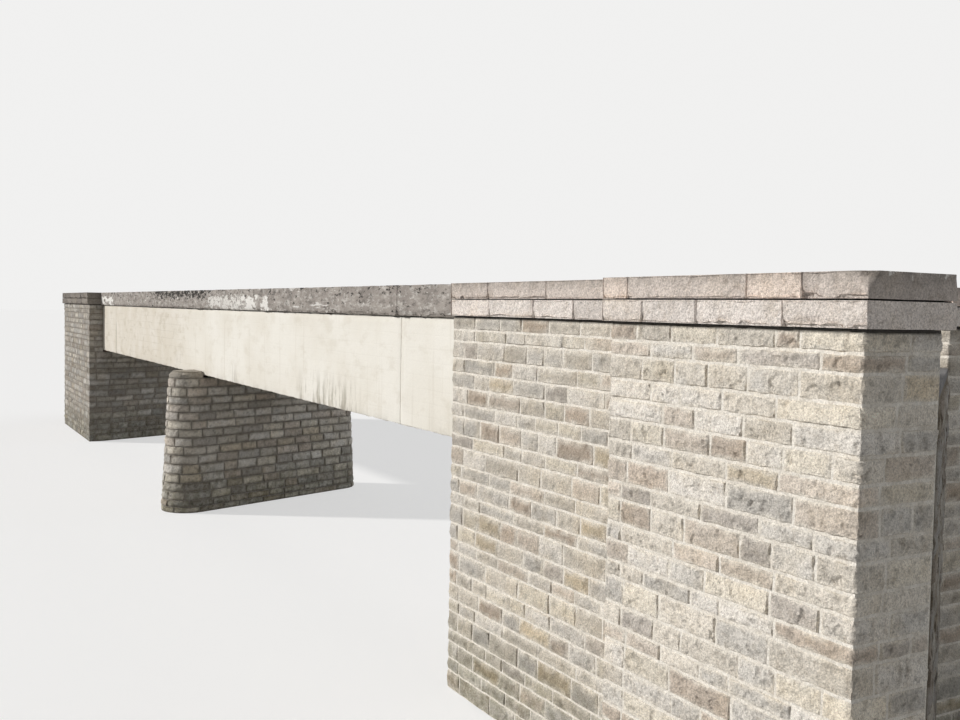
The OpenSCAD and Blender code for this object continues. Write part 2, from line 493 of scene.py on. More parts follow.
def worn_shift(p, way, lo, hi, rough, erode, seed):
    """How far a block's surface moves out, negative where it has worn away."""
    corner = np.abs(way).max(1) < 0.98
    worn = 2.4 * np.clip(fractal(p, 0.13, seed + 3, 2) - 0.02, 0, 0.5)
    worn = (worn + 0.6 * np.clip(fractal(p, 0.04, seed + 4, 2), 0, 1)) * erode
    near = np.minimum(p - lo, hi - p)
    long_edge = np.maximum(near[:, 1], near[:, 2])
    upright = np.maximum(near[:, 0], near[:, 1])
    low_half = p[:, 2] < (lo[2] + hi[2]) / 2
    weight = np.where(low_half, 1.0, 0.35)
    edge = np.maximum(weight * np.exp(-long_edge / 0.026), 0.06 * np.exp(-upright / 0.022))
    reach = 0.045 * np.clip(0.5 + 1.6 * fractal(p * (1.0, 1.0, 0.4), 0.09, seed + 5, 2), 0, 1)
    flaked = (long_edge < reach) & low_half & (near[:, 0] > 0.001)
    waves = rough * (fractal(p, 0.16, seed, 3) - 1.0) * (1 - 0.9 * np.abs(way[:, 0]))
    return waves - worn * edge * (1 + corner) - 0.8 * erode * flaked


def chip_corners(p, lo, hi, chipped, seed):
    """Chips the upright corners of a block's high end, mostly the front one at its top."""
    rise = (p[:, 2] - lo[2]) / (hi[2] - lo[2])
    cut = 0.5 * fractal(p * (0.4, 0.4, 1.0), 0.07, seed + 8, 3) + 1.9 * rise - 0.4
    for side, y, part in ((-1, lo[1], 1.0), (1, hi[1], 0.25)):
        out = p[:, 0] - hi[0] + side * (p[:, 1] - y)
        over = np.maximum(out + part * chipped * np.clip(cut, 0.04, 1), 0) / 2
        p[:, 0] -= over
        p[:, 1] -= side * over


def block(pile, lo, hi, cell, seed, tone, radius=0.008, rough=0.002, erode=0.0, skew=(0, 0, 0),
          chipped=0.0):
    """A closed block with worn edges; skew is its slope at either end and the y they turn on."""
    lo = np.array(lo, float)
    hi = np.array(hi, float)
    p, number = block_shell(lo, hi, cell, radius)
    inner = np.clip(p, lo + radius, hi - radius)
    away = p - inner
    way = away / np.maximum(np.linalg.norm(away, axis=1), 1e-9)[:, None]
    shift = worn_shift(p, way, lo, hi, rough, erode, seed)
    p = inner + way * radius + way * shift[:, None]
    if chipped:
        chip_corners(p, lo, hi, chipped, seed)
    share = (p[:, 0] - lo[0]) / (hi[0] - lo[0])
    p[:, 0] -= (skew[0] * (1 - share) + skew[1] * share) * (p[:, 1] - skew[2])
    mottle = 1 + 0.10 * fractal(p, 0.12, seed + 7, 3)
    pile.add(p, shell_faces(number), np.asarray(tone) * mottle[:, None])


def block_joints(x0, x1, y0, rng, skew):
    """Ends of blocks laid at random; the first block allows for a skewed end."""
    shortest = BLOCK_LENGTH[0]
    xs = [x0]
    lead = skew[0] * (skew[2] - y0)
    while xs[-1] < x1 - shortest * 1.4:
        xs.append(xs[-1] + lead + rng.uniform(*BLOCK_LENGTH))
        lead = 0.0
    if x1 - xs[-1] < shortest * 0.7:
        xs.pop()
    return [*xs, x1]


def course_blocks(pile, x0, x1, y0, y1, z0, z1, rng, cell, tones, marks=(), skew=(0, 0, 0),
                  chip=0.0):
    """Dressed blocks with thin open joints, around a near-black bed that paints the shade in them;
    with marks, the last is chipped.
    """
    xs = [x0, *marks, x1] if marks else block_joints(x0, x1, y0, rng, skew)
    for i, (a, b) in enumerate(zip(xs[:-1], xs[1:])):
        last = i == len(xs) - 2
        corner = bool(marks) and last
        ends = (skew[0] if i == 0 else 0, skew[1] if last else 0, skew[2])
        inset = rng.uniform(0.0, 0.003)
        tone = linear(*tones[int(rng.integers(len(tones)))]) * rng.uniform(0.92, 1.06)
        erode = BLOCK_WEAR * (1.5 if corner else rng.uniform(0.3, 1.1))
        size = (cell * (0.75 if corner else 1.0), cell * 1.3, cell)
        low = (a + BLOCK_GAP, y0 + inset, z0 + 0.002)
        high = (b - BLOCK_GAP, y1 - inset, z1 - 0.001)
        block(pile, low, high, size, new_seed(rng), tone, BLOCK_EDGE, BLOCK_ROUGH, erode, ends,
              chip if corner else 0.0)
    head = z1 - 0.02 if z1 == TOP else z1 + 0.003
    # the bed is near black: painted shade for the open joints between the blocks
    block(pile, (x0 + 0.03, y0 + 0.03 + 0.7 * chip, z0 + 0.0005), (x1 - 0.02, y1 - 0.02, head),
          (0.5, 0.2, 0.1), new_seed(rng), JOINT_SHADE_TONE, skew=skew)


# Materials

# linear colour of the shade under a projecting edge
SHADOW = (0.04, 0.036, 0.03)


class Coat:
    """Wires up one procedural material."""

    def __init__(self, name, roughness):
        self.material = bpy.data.materials.new(name)
        self.material.use_nodes = True
        self.tree = self.material.node_tree
        self.shader = self.tree.nodes["Principled BSDF"]
        self.shader.inputs["Roughness"].default_value = roughness
        self.shader.inputs["Specular IOR Level"].default_value = 0.3
        self.place = self.node("ShaderNodeTexCoord").outputs["Object"]
        self.x, self.y, self.z = self.node("ShaderNodeSeparateXYZ", Vector=self.place).outputs
        self.colour = None

    def node(self, kind, **inputs):
        """A new node with some of its inputs set."""
        node = self.tree.nodes.new(kind)
        for name, value in inputs.items():
            self.put(node.inputs[name], value)
        return node

    def put(self, socket, value):
        """Links a socket, or sets it to a constant."""
        if isinstance(value, bpy.types.NodeSocket):
            self.tree.links.new(value, socket)
        elif isinstance(value, tuple) and len(value) == 3 and socket.type == "RGBA":
            socket.default_value = (*value, 1.0)
        else:
            socket.default_value = value

    def noise(self, scale, detail=3.0, rough=0.55, stretch=(1, 1, 1)):
        mapping = self.node("ShaderNodeMapping", Scale=stretch, Vector=self.place)
        noise = self.node("ShaderNodeTexNoise", Vector=mapping.outputs[0], Scale=scale,
                          Detail=detail, Roughness=rough)
        return noise.outputs["Fac"]

    def ramp(self, value, a, b, low=0.0, high=1.0):
        """The value brought smoothly from a..b to low..high."""
        ends = {"From Min": a, "From Max": b, "To Min": low, "To Max": high}
        node = self.node("ShaderNodeMapRange", Value=value, **ends)
        node.interpolation_type = "SMOOTHSTEP"
        return node.outputs["Result"]

    def math(self, operation, a, b=0.0):
        node = self.node("ShaderNodeMath")
        node.operation = operation
        self.put(node.inputs[0], a)
        self.put(node.inputs[1], b)
        return node.outputs[0]

    def times(self, first, *others):
        """The product of the values."""
        for value in others:
            first = self.math("MULTIPLY", first, value)
        return first

    def between(self, value, start, full, less, end):
        """One from full to less, nothing outside start to end."""
        return self.times(self.ramp(value, start, full), self.ramp(value, end, less))

    def raised(self, noise, where, amount):
        """The noise, raised where the mask is one."""
        return self.math("ADD", noise, self.times(where, amount))

    def along(self):
        """Place along the road as on the front; the back is turned half a turn."""
        side = self.math("SIGN", self.times(self.y, -1.0))
        return self.times(self.x, side)

    def mix(self, factor, a, b, blend="MIX"):
        """Colour a with colour b over it."""
        node = self.node("ShaderNodeMix")
        node.data_type = "RGBA"
        node.blend_type = blend
        self.put(node.inputs[0], factor)
        self.put(node.inputs[6], a)
        self.put(node.inputs[7], b)
        return node.outputs[2]

    def lay(self, factor, colour):
        """Lays a colour over what is there."""
        self.colour = self.mix(factor, self.colour, colour)

    def tint(self, factor, colour):
        """Multiplies what is there by a colour."""
        self.colour = self.mix(factor, self.colour, colour, "MULTIPLY")

    def two_tone(self, value, a, b, below, above):
        """One colour where the value is below a, another where it is above b."""
        return self.mix(self.ramp(value, a, b), below, above)

    def tone(self):
        """The colour that each stone carries."""
        node = self.node("ShaderNodeAttribute")
        node.attribute_name = "tone"
        return node.outputs["Color"]

    def speckle(self, value, a, b, low, high):
        """Makes what is there darker or lighter with a value."""
        light = self.ramp(value, a, b, low, high)
        grey = self.node("ShaderNodeCombineColor", Red=light, Green=light, Blue=light)
        self.tint(1.0, grey.outputs[0])

    def bump(self, layers):
        """Relief from pairs of height and distance."""
        normal = None
        for height, distance in layers:
            node = self.node("ShaderNodeBump", Strength=1.0, Distance=distance, Height=height)
            if normal is not None:
                self.put(node.inputs["Normal"], normal)
            normal = node.outputs[0]
        self.put(self.shader.inputs["Normal"], normal)

    def done(self):
        """The finished material."""
        self.put(self.shader.inputs["Base Color"], self.colour)
        return self.material


def under_edge(coat, level, start, full):
    """One just below a projecting edge, where its shade lies."""
    return coat.ramp(coat.z, level - start, level - full)


def granite(name, dark_top=0.0, dirt=0.35):
    """Granite in the colour of each stone, with crystals, stains, and damp near the foot."""
    coat = Coat(name, 0.88)
    grain = coat.noise(75, 3, 0.75)
    patch = coat.noise(9, 4, 0.6)
    warm = coat.ramp(coat.noise(3.2, 3, 0.5), 0.45, 0.7, 0.0, 0.22)
    coat.colour = coat.tone()
    coat.tint(warm, (1.0, 0.90, 0.72))
    coat.speckle(grain, 0.34, 0.66, 0.74, 1.16)
    mica = coat.ramp(coat.noise(130, 2, 0.6), 0.57, 0.66, 0.0, 0.42)
    coat.lay(mica, (0.20, 0.19, 0.18))
    smudge = coat.ramp(coat.noise(22, 4, 0.7), 0.52, 0.68, 0.0, 0.55)
    coat.tint(smudge, (0.62, 0.58, 0.54))
    below = coat.math("LESS_THAN", coat.z, COURSE + 0.001)
    shade = coat.times(under_edge(coat, COURSE, 0.030, 0.010), below, 0.85)
    coat.lay(shade, SHADOW)
    coat.tint(coat.ramp(patch, 0.50, 0.74, 0.0, dirt), (0.60, 0.56, 0.50))
    damp = coat.times(coat.ramp(coat.z, 1.1, 0.1), coat.ramp(patch, 0.35, 0.6, 0.25, 0.8))
    coat.tint(damp, (0.50, 0.51, 0.44))
    # on the coping: dark runs and lichen, and painted shade on the near block's end face
    if dark_top:
        coping_soot(coat, dark_top)
        coping_end_shade_and_crust(coat)
    coat.bump([(coat.noise(20, 5, 0.68), 0.026), (grain, 0.0045)])
    return coat.done()


def coping_soot(coat, strength):
    """Dark runs from the top of the coping, and lichen."""
    top = coat.ramp(coat.z, TOP - 0.10, TOP - 0.01)
    run = coat.noise(14, 5, 0.7, (1, 1, 0.5))
    sooty = coat.times(top, coat.ramp(run, 0.30, 0.72, 0.10, strength))
    coat.lay(sooty, (0.15, 0.135, 0.118))
    lichen = coat.ramp(coat.noise(34, 3, 0.7), 0.64, 0.70, 0.0, 0.4)
    coat.lay(lichen, (0.25, 0.24, 0.21))


def coping_end_shade_and_crust(coat):
    """The end face of the near block's coping: darkened with painted shade, with a pale crust
    along its top.
    """
    end = coat.times(coat.ramp(coat.x, SHORT_END + 0.030, SHORT_END + 0.046),
                     coat.ramp(coat.z, MID - 0.005, MID + 0.005))
    # painted shade on the end face, which turns away from the key light
    coat.lay(coat.times(end, 0.30), (0.17, 0.155, 0.14))
    upper = coat.times(end, coat.ramp(coat.z, TOP - 0.075, TOP - 0.015))
    crust = coat.raised(coat.noise(26, 4, 0.7, (1, 1, 0.45)), upper, 0.12)
    crust = coat.times(upper, coat.ramp(crust, 0.66, 0.71))
    coat.lay(crust, (0.86, 0.83, 0.78))


def mortar():
    """Mortar, pale at the near end and aged at the far one."""
    coat = Coat("mortar", 0.95)
    patch = coat.noise(14, 4, 0.6)
    pale = coat.two_tone(patch, 0.35, 0.7, (0.95, 0.91, 0.84), (0.80, 0.75, 0.67))
    aged = coat.two_tone(patch, 0.35, 0.7, (0.36, 0.335, 0.30), (0.22, 0.205, 0.18))
    coat.colour = coat.mix(coat.ramp(coat.x, 3.0, 9.0), aged, pale)
    coat.speckle(coat.noise(90, 3, 0.7), 0.3, 0.7, 0.78, 1.12)
    shade = coat.times(under_edge(coat, COURSE, 0.030, 0.010), 0.9)
    coat.lay(shade, SHADOW)
    coat.bump([(coat.noise(60, 4, 0.6), 0.010)])
    return coat.done()


def girder_stains_and_shade(coat, along):
    """Dark runs near a girder's lower edge, soil at the far joint, painted shade under the band.
    """
    low = coat.ramp(coat.z, SOFFIT + 0.50, SOFFIT + 0.02)
    elsewhere = coat.ramp(coat.noise(0.7, 2), 0.58, 0.68, 0.05, 0.5)
    zone = coat.math("MAXIMUM", coat.between(along, 5.3, 5.9, 7.2, 7.8), elsewhere)
    runs = coat.noise(13, 4, 0.7, (1.0, 1.0, 0.16))
    runs = coat.times(coat.ramp(runs, 0.45, 0.62), low, zone, 0.75)
    coat.lay(runs, (0.33, 0.30, 0.24))
    from_joint = coat.math("ABSOLUTE", coat.math("SUBTRACT", along, JOINTS_X[0]))
    near_joint = coat.ramp(from_joint, 0.055, 0.015)
    soiled = coat.times(near_joint, coat.ramp(coat.z, 3.15, 2.9, 0.1, 0.75))
    coat.lay(soiled, (0.30, 0.27, 0.22))
    # painted shade under the projecting band
    shade = coat.times(under_edge(coat, BAND, 0.022, 0.006), 0.8)
    coat.lay(shade, (0.06, 0.054, 0.045))


def board_seams(coat):
    """Level seams from the boards of the mould."""
    board = coat.node("ShaderNodeTexWave", Scale=2.3, Distortion=0.6, Vector=coat.place)
    board.bands_direction = "Z"
    return coat.ramp(board.outputs["Fac"], 0.06, 0.0)


def concrete():
    """Smooth cast concrete, duller along the far span."""
    coat = Coat("cast_concrete", 0.8)
    along = coat.along()
    left = coat.ramp(along, 1.5, -2.5)
    patch = coat.noise(0.9, 3, 0.5)
    bright = coat.two_tone(patch, 0.35, 0.65, (0.88, 0.86, 0.80), (0.82, 0.79, 0.715))
    patch = coat.noise(1.6, 4, 0.6)
    dull = coat.two_tone(patch, 0.3, 0.7, (0.72, 0.67, 0.575), (0.80, 0.76, 0.69))
    coat.colour = coat.mix(left, bright, dull)
    cloud = coat.ramp(coat.noise(5, 5, 0.65, (0.6, 1.0, 1.3)), 0.50, 0.68)
    coat.lay(coat.times(cloud, coat.ramp(left, 0.0, 1.0, 0.25, 0.7)), (0.62, 0.57, 0.47))
    streak = coat.noise(6, 4, 0.65, (1.0, 1.0, 0.05))
    coat.lay(coat.ramp(streak, 0.54, 0.72, 0.0, 0.28), (0.60, 0.55, 0.46))
    speck = coat.noise(110, 3, 0.7)
    coat.speckle(speck, 0.3, 0.7, 0.94, 1.04)
    girder_stains_and_shade(coat, along)
    seam = board_seams(coat)
    marked = coat.times(coat.ramp(coat.noise(1.7, 3, 0.6), 0.42, 0.60, 0.03, 0.30),
                        coat.ramp(left, 0.0, 1.0, 0.12, 0.85))
    coat.lay(coat.times(seam, marked), (0.50, 0.45, 0.36))
    coat.bump([(seam, -0.0004), (coat.noise(3, 3), 0.010), (speck, 0.0010)])
    return coat.done()


def band_growth(coat, along):
    """Dark growth, thickest along the top over the middle of the bridge."""
    top = coat.ramp(coat.z, TOP - 0.27, TOP - 0.03)
    zone = coat.ramp(coat.between(along, -3.4, -2.4, 0.9, 1.9), 0.0, 1.0, 0.30, 1.0)
    growth = coat.noise(15, 5, 0.8, (0.35, 1, 1))
    growth = coat.raised(growth, coat.times(top, zone), 0.155)
    coat.lay(coat.ramp(growth, 0.60, 0.635), (0.03, 0.027, 0.024))


def band_bare(coat, along):
    """Pale concrete where the surface has peeled, speckled or been scratched."""
    lower = coat.ramp(coat.z, TOP - 0.04, TOP - 0.17, 0.2, 1.0)
    far_end = coat.times(coat.ramp(along, -6.9, -7.5), 1.05)
    zone = coat.math("MAXIMUM", coat.between(along, 2.6, 3.3, 4.2, 4.9), far_end)
    peeled = coat.noise(6.5, 5, 0.68, (0.45, 1, 1))
    peeled = coat.raised(peeled, coat.times(zone, lower), 0.17)
    coat.lay(coat.ramp(peeled, 0.655, 0.675), (0.82, 0.805, 0.775))
    zone = coat.between(along, 0.8, 1.5, 3.0, 3.6)
    speckled = coat.noise(15, 5, 0.75, (0.5, 1, 1))
    speckled = coat.raised(speckled, coat.times(zone, lower), 0.17)
    coat.lay(coat.ramp(speckled, 0.62, 0.66, 0.0, 0.9), (0.76, 0.745, 0.715))
    zone = coat.between(along, 5.0, 5.5, 6.4, 6.9)
    scratched = coat.noise(4, 4, 0.6, (0.5, 1, 5.0))
    scratched = coat.raised(scratched, zone, 0.08)
    coat.lay(coat.ramp(scratched, 0.68, 0.71, 0.0, 0.85), (0.74, 0.725, 0.70))


def weathered_concrete():
    """Dark concrete of the bands, with growth and bare patches."""
    coat = Coat("weathered_concrete", 0.92)
    along = coat.along()
    patch = coat.noise(2.2, 4, 0.6)
    coat.colour = coat.two_tone(patch, 0.35, 0.65, (0.40, 0.365, 0.335), (0.30, 0.272, 0.25))
    pale = coat.noise(13, 5, 0.78, (0.4, 1, 1))
    coat.lay(coat.ramp(pale, 0.50, 0.62, 0.0, 0.8), (0.60, 0.575, 0.545))
    dark = coat.noise(16, 5, 0.78, (0.4, 1, 1))
    coat.lay(coat.ramp(dark, 0.50, 0.66, 0.0, 0.7), (0.13, 0.118, 0.108))
    band_growth(coat, along)
    band_bare(coat, along)
    coat.speckle(coat.noise(150, 3, 0.7), 0.3, 0.7, 0.80, 1.18)
    coat.bump([(coat.noise(30, 5, 0.65), 0.006), (coat.noise(170, 2, 0.6), 0.0016)])
    return coat.done()


def cracks(coat):
    """Thin, crooked cracks."""
    bent = coat.node("ShaderNodeTexNoise", Scale=3.0, Vector=coat.place).outputs["Color"]
    place = coat.mix(0.25, coat.place, bent)
    crack = coat.node("ShaderNodeTexVoronoi", Scale=0.8, Vector=place)
    crack.feature = "DISTANCE_TO_EDGE"
    return coat.ramp(crack.outputs["Distance"], 0.006, 0.002)


def road():
    """Worn asphalt with tracks, chips, cracks, and grit at its edges."""
    coat = Coat("road_surfacing", 0.95)
    across = coat.math("ABSOLUTE", coat.y)
    patch = coat.noise(1.4, 4, 0.6)
    coat.colour = coat.two_tone(patch, 0.35, 0.7, (0.115, 0.112, 0.12), (0.17, 0.165, 0.165))
    wear = coat.ramp(coat.noise(0.8, 4, 0.6, (0.3, 1, 1)), 0.3, 0.7, 0.2, 0.8)
    track = coat.times(coat.between(across, 0.24, 0.42, 0.62, 0.80), wear)
    coat.lay(track, (0.235, 0.23, 0.225))
    chips = coat.noise(130, 2, 0.7)
    coat.lay(coat.ramp(chips, 0.55, 0.68, 0.0, 0.6), (0.32, 0.31, 0.30))
    crack = cracks(coat)
    coat.lay(coat.times(crack, 0.5), (0.06, 0.058, 0.055))
    edge = coat.ramp(across, 0.80, 1.07, 0.0, 0.35)
    grit = coat.math("ADD", edge, coat.noise(9, 5, 0.7))
    coat.lay(coat.ramp(grit, 0.62, 0.80, 0.0, 0.75), (0.25, 0.225, 0.18))
    coat.bump([(chips, 0.003), (crack, -0.004)])
    return coat.done()


def filling():
    """Earth with pebbles."""
    coat = Coat("filling", 0.97)
    patch = coat.noise(12, 5, 0.65)
    coat.colour = coat.two_tone(patch, 0.35, 0.65, (0.20, 0.165, 0.12), (0.12, 0.10, 0.078))
    pebble = coat.node("ShaderNodeTexVoronoi", Scale=45.0, Vector=coat.place)
    lump = coat.ramp(pebble.outputs["Distance"], 0.50, 0.15)
    coat.lay(coat.times(lump, 0.45), (0.30, 0.265, 0.215))
    coat.bump([(lump, 0.006), (coat.noise(45, 4, 0.7), 0.010)])
    return coat.done()


def iron():
    """Rusted iron of the bearings."""
    coat = Coat("bearing_iron", 0.6)
    coat.shader.inputs["Metallic"].default_value = 0.6
    patch = coat.noise(30, 4, 0.6)
    coat.colour = coat.two_tone(patch, 0.4, 0.65, (0.09, 0.08, 0.075), (0.20, 0.10, 0.055))
    coat.bump([(coat.noise(120, 3), 0.001)])
    return coat.done()


GRANITE = granite("rock_faced_granite")
MORTAR = mortar()
DRESSED = granite("dressed_granite", 0.55, 0.42)
CONCRETE = concrete()
WEATHERED = weathered_concrete()
SURFACING = road()
FILLING = filling()
IRON = iron()


def node_material(name):
    """The material of a solid that shows as it is."""
    if "bearings" in name:
        return IRON
    if "surfacing" in name:
        return SURFACING
    if name.endswith("_core"):
        return FILLING
    if name in ("deck_slab", "cross_beams") or "girder" in name:
        return CONCRETE
    return MORTAR


for name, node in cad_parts.items():
    node.data.materials.clear()
    node.data.materials.append(node_material(name))

# Walls of one end


def short_block(seed, cell, joints, turn, name, **look):
    """Stones of the short end block: outer side, end and, above the road, its inner side."""
    rng = np.random.default_rng(seed)
    pile = Pile()
    outer = [(RECESS_END, -RECESS_Y), (RECESS_END, -BLOCK_Y), (SHORT_END, -BLOCK_Y),
             (SHORT_END, -INNER_Y)]
    low = Outline(outer)
    high = Outline(outer + [(SPAN + SLOPE * INNER_Y, -INNER_Y)])
    start = BLOCK_Y - RECESS_Y
    corner = start + SHORT_END - RECESS_END
    for z0, z1 in zip(LEVELS[:-1], LEVELS[1:]):
        line = high if z1 > ROAD else low
        marks = None
        if z0 in joints:
            front = [start + x - RECESS_END for x in joints[z0]]
            rest = joints_along(line, corner + rng.uniform(0.16, 0.38), line.end, rng, 0.24, 0.5)
            marks = [0.0, *front, *rest]
        lay(pile, line, z0, z1, rng, cell, marks, **look)
    pile.make(name, GRANITE, turn=turn)


def skew_walls(seed, cell, turn, name, **look):
    """Stones of the set-back wall, the abutment face and the long block."""
    rng = np.random.default_rng(seed)
    pile = Pile()
    recess = [(RECESS_END, -RECESS_Y), (SPAN + SLOPE * RECESS_Y, -RECESS_Y)]
    long_side = [(-LEFT_X, GIRDER_Y), (-LEFT_X, BLOCK_Y), (LONG_END, BLOCK_Y), (LONG_END, INNER_Y)]
    behind_girder = (SPAN + SLOPE * GIRDER_Y, -GIRDER_Y)
    inner = (SPAN - SLOPE * INNER_Y, INNER_Y)
    whole = Outline((recess + long_side)[::-1])
    recess_high = Outline([*recess, behind_girder][::-1])
    block_low = Outline(long_side[::-1])
    block_high = Outline([*long_side, inner][::-1])
    for z0, z1 in zip(LEVELS[:-1], LEVELS[1:]):
        if z1 <= SHELF + CLOSE:
            lay(pile, whole, z0, z1, rng, cell, **look)
        else:
            lay(pile, recess_high, z0, z1, rng, cell, **look)
            lay(pile, block_high if z1 > ROAD else block_low, z0, z1, rng, cell, **look)
    pile.make(name, GRANITE, turn=turn)


def end_rubble(seed, turn, name):
    """Rough rubble that closes the filling between the two blocks of one end."""
    rng = np.random.default_rng(seed)
    pile = Pile()
    line = Outline([(SHORT_END, -INNER_Y), (LONG_END, INNER_Y)])
    side = 0.05
    z = 0.0
    top = DECK - 0.03
    while z < top:
        above = z + rng.uniform(0.13, 0.24)
        above = top if top - above < 0.10 else above
        lay(pile, line, z, above, rng, FAR_CELL, None, side, line.end - side, **RUBBLE_LOOK)
        z = above
    pile.make(name, GRANITE, turn=turn)


NEAR_LOOK = dict(gap=0.020, proud=0.012, rough=2.1, shade=1.29, grey=0.18)
FAR_LOOK = dict(shade=0.92, grey=0.4, smear=AGED)
PIER_LOOK = dict(proud=0.015, rough=1.9, shade=1.17, grey=0.3, smear=AGED)
RUBBLE_LOOK = dict(gap=0.030, short=0.17, long=0.45, proud=0.016, rough=2.6, shade=0.55, grey=0.2,
                   smear=EARTH, wander=0.030, wave=0.22)

short_block(11, NEAR_CELL, NEAR_JOINTS, False, "front_short_block_stones", **NEAR_LOOK)
short_block(12, FAR_CELL, {}, True, "back_short_block_stones", **FAR_LOOK)
skew_walls(13, FAR_CELL, False, "right_end_stones")
skew_walls(14, LEFT_CELL, True, "left_end_stones", **FAR_LOOK)
end_rubble(15, False, "right_core_rubble")
end_rubble(16, True, "left_core_rubble")

# Pier

# the front's rounded end: its centre, and the directions across and along the pier
ACROSS = np.array([math.cos(SKEW), math.sin(SKEW)])
INWARD = np.array([-math.sin(SKEW), math.cos(SKEW)])
NOSE_CENTRE = np.array([NOSE_REACH * math.sin(SKEW), -NOSE_Y])
# the raised stones are cut off here, clear of the girder's face
CUT_Y = GIRDER_Y + 0.022
# the raised stones' side, from the shelf up: height, and how far it leans in
RAISED_SIDE = [(0.002, 0.010), (0.008, 0.003), (0.024, 0.003), (0.040, 0.003), (0.054, 0.006),
               (0.066, 0.021), (0.078, 0.036), (0.090, 0.052), (0.102, 0.066), (0.108, 0.074),
               (0.108, 0.100), (0.108, 0.170)]
# the level top starts at this height, and the open joints end at this lean
RAISED_TOP = 0.107
JOINT_LEAN = 0.09
# angles of the two open joints in the rounded end, and their depth
RAISED_JOINTS = (0.96, 2.14)
RAISED_JOINT_DEPTH = 0.012
RAISED_TONE = linear(176, 170, 160)
# points around the pier's mortar, and at least this many stones in a row
AROUND = 120
PIER_STONES = 20


def loft(pile, rings, tone):
    """Closed solid through rings of equal length, from the lowest to the highest."""
    n = len(rings[0])
    faces = [list(range(n - 1, -1, -1))]
    for k in range(len(rings) - 1):
        for i in range(n):
            j = (i + 1) % n
            faces.append([k * n + i, k * n + j, (k + 1) * n + j, (k + 1) * n + i])
    faces.append([(len(rings) - 1) * n + i for i in range(n)])
    pile.add(np.concatenate(rings), faces, tone)


def raised_plan(r, grooved):
    """Plan of the raised stones: a side, the rounded end, the other side and the cut."""
    sides = []
    for x in (r, -r):
        length = (NOSE_Y - CUT_Y - x * math.sin(SKEW)) / math.cos(SKEW)
        shares = np.linspace(1, 0.15, 6)
        sides.append([NOSE_CENTRE + x * ACROSS + INWARD * length * q for q in shares])
    rounded = []
    for angle in np.linspace(0, -math.pi, 81):
        joints = sum(math.exp(-((angle + joint) / 0.03) ** 2) for joint in RAISED_JOINTS)
        out = r - RAISED_JOINT_DEPTH * joints * grooved
        rounded.append(NOSE_CENTRE + out * (math.cos(angle) * ACROSS + math.sin(angle) * INWARD))
    plan = sides[0] + rounded + sides[1][::-1]
    start, stop = plan[0], plan[-1]
    cut = [stop + (start - stop) * q for q in np.linspace(0.1, 0.9, 9)]
    return np.array(plan + cut)


def raised_end(pile, rng, turn):
    """The weathered stones on a rounded pier end, cut off along the girder face."""
    seed = new_seed(rng)
    rings = []
    for z, lean in RAISED_SIDE:
        xy = raised_plan(NOSE_R - lean, lean < JOINT_LEAN)
        p = np.column_stack([xy, np.full(len(xy), SHELF + z)])
        push = 0.014 * fractal(p, 0.10, seed, 3) + 0.006 * fractal(p, 0.03, seed + 2, 2) - 0.012
        away = xy - (NOSE_CENTRE + INWARD * 0.1)
        away /= np.linalg.norm(away, axis=1)[:, None]
        free = (xy[:, 1] < -CUT_Y - 0.01) & (z < RAISED_TOP)
        p[:, :2] += away * (push * free)[:, None]
        p[:, 2] += 0.010 * fractal(p, 0.06, seed + 1, 3) * free * (z > 0.04)
        p[:, 2] = np.minimum(p[:, 2], SHELF + RAISED - 0.001)
        rings.append(p[::-1])
    if turn:
        rings = [ring * HALF_TURN for ring in rings]
    mottle = 1 + 0.25 * fractal(np.concatenate(rings), 0.05, seed + 3, 3)
    loft(pile, rings, RAISED_TONE * mottle[:, None])


def pier_bed(line, name, low, high):
    """Mortar between the stones of one part of the pier."""
    bed = Pile()
    around = np.linspace(0, line.end, AROUND, endpoint=False)
    levels = np.linspace(low, high, 3)
    loft(bed, [line.at(around, np.full(AROUND, z), np.zeros(AROUND)) for z in levels], SMEAR)
    bed.make(f"{name}_bed", MORTAR, [name])


def pier_rows(pile, line, low, high, rng):
    """Rows of stones around the pier between two heights."""
    for z0, z1 in zip(PIER_LEVELS[:-1], PIER_LEVELS[1:]):
        if z0 < low - CLOSE or z1 > high + CLOSE:
            continue
        shift = rng.uniform(0, 0.5)
        n = PIER_STONES + int(rng.integers(0, 4))
        marks = [shift + line.end * (i + rng.uniform(-0.18, 0.18)) / n for i in range(n)]
        marks.append(marks[0] + line.end)
        lay(pile, line, z0, z1, rng, PIER_CELL, marks, **PIER_LOOK)


def pier():
    """Stones and mortar of the pier."""
    rng = np.random.default_rng(21)
    line = PierOutline()
    for name, low, high in (("pier_shaft", 0.0, CAP), ("pier_cap", CAP, SHELF)):
        pier_bed(line, name, low, high)
        pile = Pile()
        pier_rows(pile, line, low, high, rng)
        if name == "pier_cap":
            raised_end(pile, rng, False)
            raised_end(pile, rng, True)
        pile.make(f"{name}_stones", GRANITE, [name])


pier()

# Projecting courses

# display colours of the blocks: lower course and coping at the near end, both at the far end
LOWER_TONES = [(248, 239, 232), (241, 232, 224), (251, 243, 237), (236, 228, 222)]
UPPER_TONES = [(242, 227, 217), (232, 221, 213), (247, 232, 221), (226, 215, 207)]
FAR_TONES = [(149, 142, 136), (139, 132, 126), (157, 150, 142)]
# how far the near block's corner is broken off, in the lower course and in the coping
COURSE_CHIP = 0.018
COPING_CHIP = 0.085
# spacing of the points on the nearest blocks and on the others
NEAR_BLOCK_CELL = 0.020
FAR_BLOCK_CELL = 0.050


def projecting(side, wall, part, rng, x0, x1, y0, z0, z1, cell, tones, **more):
    """One projecting course along the head of one wall."""
    pile = Pile()
    course_blocks(pile, x0, x1, y0, -INNER_Y + LIP, z0, z1, rng, cell, tones, **more)
    node = f"{side}_{wall}_{part}"
    pile.make(f"{node}_stones", DRESSED, [node], side == "back")


